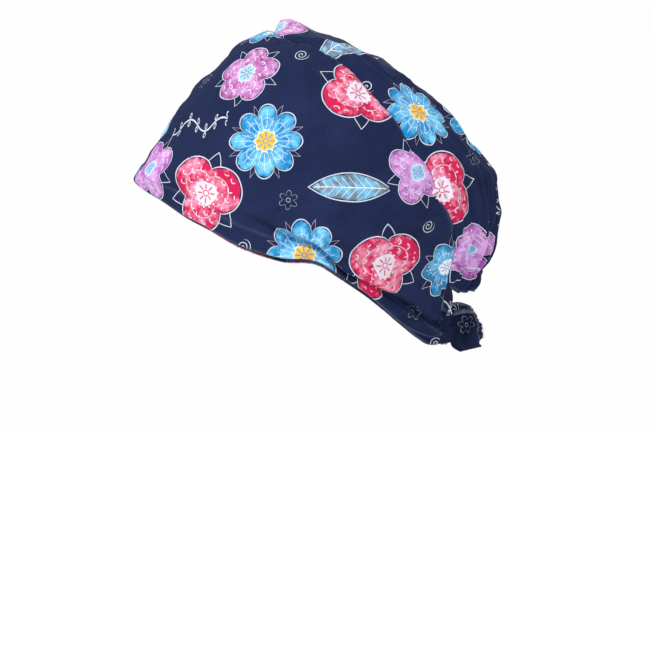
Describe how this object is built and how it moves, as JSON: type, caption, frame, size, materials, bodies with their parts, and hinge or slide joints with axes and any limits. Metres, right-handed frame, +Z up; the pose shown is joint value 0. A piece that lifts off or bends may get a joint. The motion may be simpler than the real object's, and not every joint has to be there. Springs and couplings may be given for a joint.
{
  "type": "tie-back scrub cap",
  "caption": "Printed cotton tie-back scrub cap: a wide front panel, a full crown panel gathered into an elastic hem at the back, and ties knotted at the nape.",
  "frame": {"origin": "middle of the head ring, at the level of the tops of the ears, where the cap sits on a head", "axes": "+Z up, the wearer faces -Y, the wearer's left side is +X"},
  "size_m": [0.178, 0.2562, 0.2351],
  "materials": {
    "front_panel": "matt cotton poplin, printed",
    "crown_panel": "matt cotton poplin, printed",
    "elastic_casing": "matt cotton poplin, printed, gathered over elastic",
    "tie_left": "matt cotton poplin, printed",
    "tie_right": "matt cotton poplin, printed",
    "knot": "matt cotton poplin, printed",
    "tie_end_left": "matt cotton poplin, printed",
    "tie_end_right": "matt cotton poplin, printed"
  },
  "bodies": {
    "root": {"front_panel": "front_panel", "crown_panel": "crown_panel", "elastic_casing": "elastic_casing", "tie_left": "tie_left", "tie_right": "tie_right", "knot": "knot", "tie_end_left": "tie_end_left", "tie_end_right": "tie_end_right"}
  },
  "joints": []
}
